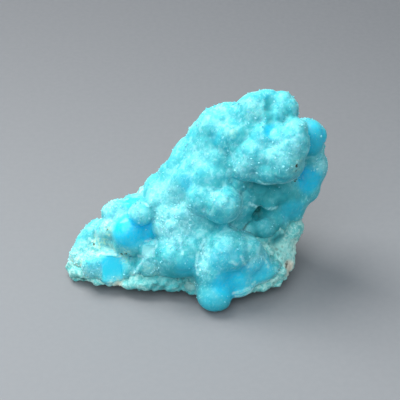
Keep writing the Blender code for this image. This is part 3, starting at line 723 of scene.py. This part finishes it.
def crustFinish():
    material, tree, shader = newMaterial("hemimorphiteFinish")
    clouding = addGroup(tree, mottle, Patch_Size=5.0, Spot_Size=1.9, Fleck_Size=0.8)
    cloudy, spotty, flecky = clouding["Patches"], clouding["Spots"], clouding["Flecks"]
    grains = addGroup(tree, grain, Grain_Size=0.34, Coarse=0.8)
    needles = addGroup(tree, fibres, Fibre_Length=1.5, Fibre_Width=0.45)["Needles"]
    crest = addAttribute(tree, "crest")
    glassy = addAttribute(tree, "glassy")
    shaded = addAttribute(tree, "shaded")

    colour = addMix(tree, addRange(tree, cloudy, 0.36, 0.64), crust["bodyCyan"], crust["paleCyan"])
    paleSpots = addRange(tree, spotty, 0.50, 0.66, 0.0, 0.45)
    paleSpots = multiply(tree, paleSpots, addRange(tree, shaded, 0.0, 0.6, 1.0, 0.2))
    colour = addMix(tree, paleSpots, colour, crust["frostAndSheenWhite"])
    colour = addMix(tree, addRange(tree, spotty, 0.34, 0.48, 0.45, 0.0), colour, crust["tealMottleAndShade"])
    # painted shade: hollows and the creases between knobs turn teal
    hollowShade = addRange(tree, multiply(tree, crest, -1.0), 0.05, 0.75)
    hollowShade = addMath(tree, "MAXIMUM", hollowShade, multiply(tree, addAttribute(tree, "crease"), 0.55))
    colour = addMix(tree, multiply(tree, hollowShade, 0.75), colour, crust["tealMottleAndShade"])
    # painted shade on the undersides
    colour = addMix(tree, addAttribute(tree, "undersideShade"), colour, crust["tealMottleAndShade"])
    # painted shade: the shaded spots turn shade green
    colour = addMix(tree, multiply(tree, shaded, 0.9), colour, crust["shadeGreen"])

    # blue glass shows through where the sugar is thin
    glass = multiply(tree, glassy, addRange(tree, flecky, 0.30, 0.62, 1.0, 0.7))
    colour = addMix(tree, glass, colour, crust["deepBlue"])
    colour = addMix(tree, addAttribute(tree, "pane"), colour, crust["paneBlue"])
    colour = addMix(tree, multiply(tree, addAttribute(tree, "leaf"), 0.55), colour, crust["frostAndSheenWhite"])

    # sugar gathers on the crests and in the frosted places
    flecks = addRange(tree, flecky, 0.40, 0.66)
    frosted = multiply(tree, addAttribute(tree, "frosty"), 0.75)
    sugar = addMath(tree, "ADD", frosted, addRange(tree, crest, 0.12, 0.8, 0.0, 0.32))
    sugar = multiply(tree, sugar, addMath(tree, "ADD", multiply(tree, flecks, 0.8), 0.3))
    sugar = multiply(tree, sugar, addMath(tree, "SUBTRACT", 1.0, multiply(tree, glassy, 0.8)))
    sugar = addMath(tree, "ADD", sugar, multiply(tree, grains["Tips"], flecks, 0.14))
    lying = multiply(tree, needles, addRange(tree, cloudy, 0.35, 0.65, 0.15, 0.45))
    lying = multiply(tree, lying, addRange(tree, glassy, 0.3, 0.9, 1.0, 0.15))
    sugar = addMath(tree, "ADD", sugar, lying, clamp=True)
    sugar = multiply(tree, sugar, addRange(tree, shaded, 0.0, 0.7, 1.0, 0.3))
    edging = multiply(tree, addAttribute(tree, "vein"), addRange(tree, flecky, 0.36, 0.56, 0.2, 0.85))
    sugar = addMath(tree, "MAXIMUM", sugar, edging)
    colour = addMix(tree, sugar, colour, crust["frostAndSheenWhite"])
    stain = multiply(tree, addAttribute(tree, "stained"), addRange(tree, flecky, 0.42, 0.62, 0.15, 0.85))
    colour = addMix(tree, stain, colour, crust["limonite"])
    specks = multiply(tree, addAttribute(tree, "specks"), addRange(tree, flecky, 0.40, 0.60, 0.3, 1.0))
    colour = addMix(tree, addRange(tree, specks, 0.25, 0.6), colour, crust["speckBrown"])

    # painted sheen: the colour turns frost white where the knobs turn away from the view
    turning = addNode(tree, "ShaderNodeLayerWeight", Blend=0.25).outputs["Facing"]
    edge = addRange(tree, turning, 0.55, 1.0, 0.0, 0.5)
    edge = multiply(tree, edge, addRange(tree, glassy, 0.4, 0.9, 1.0, 0.3))
    edge = multiply(tree, edge, addRange(tree, shaded, 0.1, 0.7, 1.0, 0.15))
    colour = addMix(tree, edge, colour, crust["frostAndSheenWhite"])
    tree.links.new(colour, shader.inputs["Base Color"])

    roughness = addMath(tree, "SUBTRACT", 0.50, multiply(tree, glassy, 0.30))
    roughness = addMath(tree, "ADD", roughness, multiply(tree, sugar, 0.16))
    tree.links.new(roughness, shader.inputs["Roughness"])
    tree.links.new(addRange(tree, glassy, 0.6, 1.0, 0.0, 0.30), shader.inputs["Coat Weight"])
    height = multiply(tree, grains["Height"], addRange(tree, glassy, 0.2, 0.9, 1.0, 0.15))
    height = multiply(tree, height, addRange(tree, cloudy, 0.36, 0.62, 0.3, 1.0))
    height = multiply(tree, height, addRange(tree, addAttribute(tree, "smooth"), 0.2, 1.0, 1.0, 0.25))
    addBump(tree, shader, height, crust["bump"])
    setShader(shader, {
        "IOR": 1.5,
        "Specular IOR Level": 0.25,
        "Subsurface Weight": 0.9,
        "Subsurface Radius": (0.35, 1.0, 1.2),
        "Subsurface Scale": crust["glowMm"] * mm,
        "Coat Roughness": 0.12,
        "Sheen Weight": 0.08,
        "Sheen Roughness": 0.25,
        "Sheen Tint": (0.55, 1.0, 1.0, 1.0),
    })
    return material


crustPiece.data.materials.append(crustFinish())
print("crust finished")

rock = {
    "cellMm": 0.36,
    "easing": 5,
    "swellMm": 0.38,
    "fillMm": 0.85,  # the rock climbs this far into the contact
    "fillReachMm": 1.4,
    "fillGapMm": (-3.0, 2.0),  # none between these depths, all of it in front, less of it behind
    "warp": {"sizeMm": 3.0, "amountMm": 0.9},  # bends the breaks, so that no edge is straight
    # broken pieces: cell size, height, where their flat tops begin, and how far they are sunk
    "blocks": {"sizeMm": 8.0, "heightMm": 0.9, "top": 0.6, "sunk": 0.42, "shift": 5.0},
    "ledges": {"sizeMm": 3.4, "heightMm": 0.9, "top": 0.5, "sunk": 0.25, "shift": 2.0},
    "crumbs": {"sizeMm": 1.3, "heightMm": 0.42, "top": 0.45, "sunk": 0.2, "shift": 4.0},
    "grit": {"sizeMm": 0.6, "heightMm": 0.16},
    "pits": {"sizeMm": 2.1, "depthMm": 0.55},
    "baseMm": (0.15, 1.2),  # the level base stays flat
    "footMm": (3.0, 6.0),  # below this the relief is stronger
    "tintReachMm": 9.0,
    "undercutMm": 6.5,
    "forwardMm": 1.9,
    "rimMm": 2.2,
    "aqua": (0.13, 0.60, 0.58),
    "paleAqua": (0.46, 0.86, 0.80),
    "cream": (0.54, 0.64, 0.53),
    "bone": (0.80, 0.80, 0.66),
    "mint": (0.36, 0.76, 0.70),
    "ochre": (0.36, 0.27, 0.13),
    "hollowShadeGreen": (0.07, 0.20, 0.20),
    "glowMm": 0.8,
    "bump": {"strength": 0.7, "distanceMm": 0.14},
    "creamSpots": [
        (21.2, -6.7, 5.1, 2.2, 1.0), (-18.5, -9.9, 2.6, 1.7, 0.8), (-1.9, -13.0, 5.0, 1.8, 0.5),
    ],
    "mintSpots": [
        (18.8, -5.0, 10.6, 2.8, 0.6), (20.2, -5.9, 8.2, 2.8, 0.7), (22.0, -4.6, 10.4, 2.0, 0.35),
    ],
    # painted shade: spots by the recess and along the front rim turned shade green
    "tealShadeSpots": [
        (18.2, -3.9, 12.4, 2.4, 0.9), (15.5, -4.5, 12.6, 2.4, 0.8), (21.6, -3.6, 12.6, 1.6, 0.5),
        (-8.0, -11.0, 3.0, 5.0, 0.65), (-2.0, -13.0, 3.6, 4.0, 0.6), (-14.0, -10.6, 2.0, 3.4, 0.45),
    ],
    "specks": [
        (20.7, -7.1, 6.4, 0.5, 1.0), (20.4, -7.8, 5.9, 0.45, 1.0), (21.1, -6.8, 6.8, 0.4, 0.8),
        (18.8, -5.1, 9.2, 0.4, 0.5), (18.8, -6.4, 8.3, 0.4, 0.45), (20.0, -4.7, 9.6, 0.35, 0.5),
        (19.7, -5.5, 8.7, 0.35, 0.45), (19.4, -6.6, 7.4, 0.35, 0.4),
    ],
}


# the front rim overhangs: its foot is drawn back and its edge stands forward
def undercut(points):
    x, y, z = (points / mm).T
    rim = rock["rimMm"]
    front = smoothstep(-6.0, -8.5, y)
    foot = 1.0 - smoothstep(0.7 * rim, 1.1 * rim, z)
    middle = smoothstep(-21.0, -12.0, x) * (1.0 - smoothstep(-1.0, 3.0, x))
    edge = (1.0 - foot) * (1.0 - smoothstep(2.5 * rim, 4.0 * rim, z)) * (0.25 + 0.75 * middle)
    points[:, 1] += front * (foot * rock["undercutMm"] - edge * rock["forwardMm"]) * mm
    return points


def buildRock():
    thing = fineSkin("matrix", "hostRock", rock)
    points, _ = readMesh(thing)
    depth, height = points[:, 1] / mm, points[:, 2] / mm
    crustTree = treeOf(readMesh(crustPiece)[0][::5])
    away = np.array([crustTree.find(point)[2] for point in points]) / mm
    gapFrom, gapTo = rock["fillGapMm"]
    filled = smoothstep(0.0, 1.0, (gapTo - depth) / (gapFrom - depth))
    heights = rock["swellMm"] + rock["fillMm"] * filled * np.exp(-(away / rock["fillReachMm"]) ** 2)
    warp = rock["warp"]
    bend = np.column_stack([clouds(points, warp["sizeMm"], 2, shift) for shift in (0.0, 5.0, 9.0)])
    warped = points + warp["amountMm"] * mm * bend
    for name, share in (("blocks", smoothstep(0.0, 4.0, depth)), ("ledges", 1.0), ("crumbs", 1.0)):
        broken = rock[name]
        near, far = cells(warped, broken["sizeMm"], broken["shift"])
        heights += broken["heightMm"] * (np.clip(far - near, 0.0, broken["top"]) - broken["sunk"]) * share
    near, _ = cells(points, rock["grit"]["sizeMm"], 8.0)
    heights += rock["grit"]["heightMm"] * (0.4 - near)
    near, _ = cells(points, rock["pits"]["sizeMm"], 15.0)
    pit = (1.0 - smoothstep(0.10, 0.30, near)) * (clouds(points, 6.0, 2, 6.0) > 0.25)
    heights -= rock["pits"]["depthMm"] * pit
    lift = smoothstep(*rock["baseMm"], height)
    low = 1.0 + 0.8 * (1.0 - smoothstep(*rock["footMm"], height))
    raiseSkin(thing, heights * lift * low)
    writePoints(thing, undercut(readMesh(thing)[0]))
    points, _ = readMesh(thing)
    storeAttribute(thing, "nearCrust", np.exp(-away / rock["tintReachMm"]))
    storeAttribute(thing, "crest", np.clip(standOut(thing, 25) / 0.6, -1.0, 1.0))
    storeAttribute(thing, "pit", pit)
    storeAttribute(thing, "specks", patchWeight(points, laidOn(points, rock["specks"])))
    for name in ("mintSpots", "creamSpots", "tealShadeSpots"):
        storeAttribute(thing, name, patchWeight(points, rock[name]))
    return thing


rockPiece = buildRock()
print("rock built:", len(rockPiece.data.vertices), "points")


def rockFinish():
    material, tree, shader = newMaterial("hostRockFinish")
    clouding = addGroup(tree, mottle, Patch_Size=6.5, Fleck_Size=1.0)
    cloudy, flecky = clouding["Patches"], clouding["Flecks"]
    grains = addGroup(tree, grain, Grain_Size=0.42, Coarse=1.0)
    flecks = addRange(tree, flecky, 0.38, 0.64)
    plain = addMix(tree, addRange(tree, cloudy, 0.38, 0.62), rock["cream"], rock["bone"])
    rusty = multiply(tree, addRange(tree, cloudy, 0.52, 0.70), 0.55, flecks)
    plain = addMix(tree, rusty, plain, rock["ochre"])
    blue = addMix(tree, flecks, rock["aqua"], rock["paleAqua"])
    nearCrust = addMath(tree, "ADD", addAttribute(tree, "nearCrust"), multiply(tree, cloudy, 0.4))
    colour = addMix(tree, addRange(tree, nearCrust, 0.45, 0.95), plain, blue)
    patchy = addRange(tree, clouding["Spots"], 0.36, 0.56, 0.45, 1.0)
    colour = addMix(tree, multiply(tree, addAttribute(tree, "mintSpots"), patchy), colour, rock["mint"])
    colour = addMix(tree, addAttribute(tree, "creamSpots"), colour, rock["bone"])
    # painted shade at the recess and the front rim
    colour = addMix(tree, addAttribute(tree, "tealShadeSpots"), colour, crust["shadeGreen"])
    # painted shade: hollows and pits darkened towards green
    hollowShade = addRange(tree, multiply(tree, addAttribute(tree, "crest"), -1.0), 0.1, 0.9, 0.0, 0.55)
    hollowPitShade = addMath(tree, "ADD", hollowShade, multiply(tree, addAttribute(tree, "pit"), 0.25), clamp=True)
    colour = addMix(tree, hollowPitShade, colour, rock["hollowShadeGreen"])
    colour = addMix(tree, addAttribute(tree, "specks"), colour, crust["speckBrown"])
    tree.links.new(colour, shader.inputs["Base Color"])
    tree.links.new(addRange(tree, flecky, 0.3, 0.7, 0.72, 0.92), shader.inputs["Roughness"])
    addBump(tree, shader, grains["Height"], rock["bump"])
    setShader(shader, {
        "IOR": 1.55,
        "Subsurface Weight": 0.15,
        "Subsurface Radius": (0.8, 1.0, 1.0),
        "Subsurface Scale": rock["glowMm"] * mm,
    })
    return material


rockPiece.data.materials.append(rockFinish())
print("rock finished")

druse = {
    "count": 1300,
    "lengthMm": (0.25, 0.62),
    "widthShare": (0.35, 0.6),
    "thicknessShare": 0.45,
    "out": 0.75,  # the share of the length that stands out of the crust
    "sunk": 0.5,
    "tiltSpread": 0.55,
    "seed": 11,
    "white": (0.46, 0.94, 0.97),
    "blue": (0.12, 0.62, 0.74),
}


# loose crystals of the sugary coat: double-ended blades, half sunk in the crust
def buildDruse():
    picker = np.random.default_rng(druse["seed"])
    points, _ = readMesh(crustPiece)
    normals = normalsOf(crustPiece)
    seen = 1.0 - smoothstep(-0.2, 0.4, -normals[:, 2])
    weight = 0.15 + crustFrost * 0.6 + smoothstep(0.0, 0.6, crustCrest) * 0.25
    weight = weight * (1.0 - 0.9 * crustBare) * seen
    chosen = picker.choice(len(points), druse["count"], replace=False, p=weight / weight.sum())
    count = len(chosen)
    tilt = normals[chosen] + picker.normal(0.0, druse["tiltSpread"], (count, 3))
    along = tilt / np.linalg.norm(tilt, axis=1)[:, None]
    side = np.cross(along, picker.normal(0.0, 1.0, (count, 3)))
    side /= np.linalg.norm(side, axis=1)[:, None]
    across = np.cross(along, side)
    length = picker.uniform(*druse["lengthMm"], count)[:, None] * mm
    width = length * picker.uniform(*druse["widthShare"], count)[:, None]
    thickness = width * druse["thicknessShare"]
    centre = points[chosen]
    corners = np.stack([
        centre + along * length * druse["out"], centre - along * length * druse["sunk"],
        centre + side * width, centre + across * thickness,
        centre - side * width, centre - across * thickness,
    ], axis=1)
    upper = [(0, 2, 3), (0, 3, 4), (0, 4, 5), (0, 5, 2)]
    lower = [(1, 3, 2), (1, 4, 3), (1, 5, 4), (1, 2, 5)]
    pattern = np.array(upper + lower)
    faces = (pattern[None] + corners.shape[1] * np.arange(count)[:, None, None]).reshape(-1, 3)
    corners[:, :, 2] = np.maximum(corners[:, :, 2], 0.0)
    mesh = bpy.data.meshes.new("sugarCrystals")
    mesh.from_pydata(corners.reshape(-1, 3).tolist(), [], faces.tolist())
    thing = addThing("sugarCrystals", mesh)
    paleness = np.clip(crustFrost[chosen] + picker.uniform(-0.2, 0.5, count), 0, 1)
    storeAttribute(thing, "paleness", np.repeat(paleness, corners.shape[1]))
    return thing


def druseFinish():
    material, tree, shader = newMaterial("sugarCrystalFinish")
    flecky = addGroup(tree, mottle, Patch_Size=3.0, Fleck_Size=0.7)["Flecks"]
    pale = multiply(tree, addAttribute(tree, "paleness"), 0.8)
    pale = addMath(tree, "ADD", pale, multiply(tree, flecky, 0.3), clamp=True)
    tree.links.new(addMix(tree, pale, druse["blue"], druse["white"]), shader.inputs["Base Color"])
    tree.links.new(addRange(tree, flecky, 0.3, 0.7, 0.3, 0.5), shader.inputs["Roughness"])
    setShader(shader, {"IOR": 1.5})
    return material


drusePiece = buildDruse()
drusePiece.data.materials.append(druseFinish())
print("sugar crystals built:", len(drusePiece.data.polygons), "faces")

for piece, slotName in (
    (crustPiece, "hemimorphite"),
    (rockPiece, "host_rock"),
    (drusePiece, "hemimorphite"),
):
    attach(piece, "root")
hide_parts("hemimorphite_crust")
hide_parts("matrix")

studio = {
    "floorHalf": 1.5,
    # painted shade: the floor fades to the darker far colour over these depths
    "floorShadeFadeMm": (-60, 160),
    "floorColour": (0.241, 0.252, 0.266),
    "floorFarShade": (0.170, 0.179, 0.191),
    "fleckGrey": (0.5, 0.5, 0.5),
    "lampAimMm": (0, 0, 18),
    "key": {"placeMm": (-155, 90, 340), "sizeMm": 240, "power": 1.7, "colour": (1.0, 0.985, 0.96)},
    "fill": {"placeMm": (-70, -240, 315), "sizeMm": 340, "power": 0.90, "colour": (0.93, 0.97, 1.0)},
    "skyColour": (0.86, 0.93, 1.0),
    "skyStrength": 0.46,
}


def buildStudio():
    mesh = bpy.data.meshes.new("floor")
    half = studio["floorHalf"]
    corners = [(-half, -half, 0), (half, -half, 0), (half, half, 0), (-half, half, 0)]
    mesh.from_pydata(corners, [], [(0, 1, 2, 3)])
    floor = addThing("floor", mesh)
    material, tree, shader = newMaterial("paperAndShadeFalloff")
    place = addNode(tree, "ShaderNodeTexCoord").outputs["Object"]
    split = addNode(tree, "ShaderNodeSeparateXYZ")
    tree.links.new(place, split.inputs[0])
    # painted shade: the floor colour darkens towards the back
    near, far = studio["floorShadeFadeMm"]
    away = addRange(tree, split.outputs["Y"], near * mm, far * mm)
    fibre = addNode(tree, "ShaderNodeTexNoise", Scale=700.0, Detail=4.0)
    tree.links.new(place, fibre.inputs["Vector"])
    colour = addMix(tree, away, studio["floorColour"], studio["floorFarShade"])
    speckle = multiply(tree, addRange(tree, fibre.outputs["Fac"], 0.3, 0.7), 0.05)
    colour = addMix(tree, speckle, colour, studio["fleckGrey"])
    tree.links.new(colour, shader.inputs["Base Color"])
    tree.links.new(addRange(tree, fibre.outputs["Fac"], 0.3, 0.7, 0.8, 0.95), shader.inputs["Roughness"])
    mesh.materials.append(material)
    for name in ("key", "fill"):
        values = studio[name]
        lamp = addThing(name + "Light", bpy.data.lights.new(name + "Light", "AREA"))
        lamp.data.energy = values["power"]
        lamp.data.color = values["colour"]
        lamp.data.size = values["sizeMm"] * mm
        lamp.location = Vector(values["placeMm"]) * mm
        aimAt(lamp, Vector(studio["lampAimMm"]) * mm)
    world = bpy.data.worlds.new("softRoom")
    bpy.context.scene.world = world
    world.use_nodes = True
    background = world.node_tree.nodes["Background"]
    background.inputs["Color"].default_value = (*studio["skyColour"], 1.0)
    background.inputs["Strength"].default_value = studio["skyStrength"]
    bpy.context.scene.view_settings.view_transform = "Standard"


buildStudio()
print("studio built")
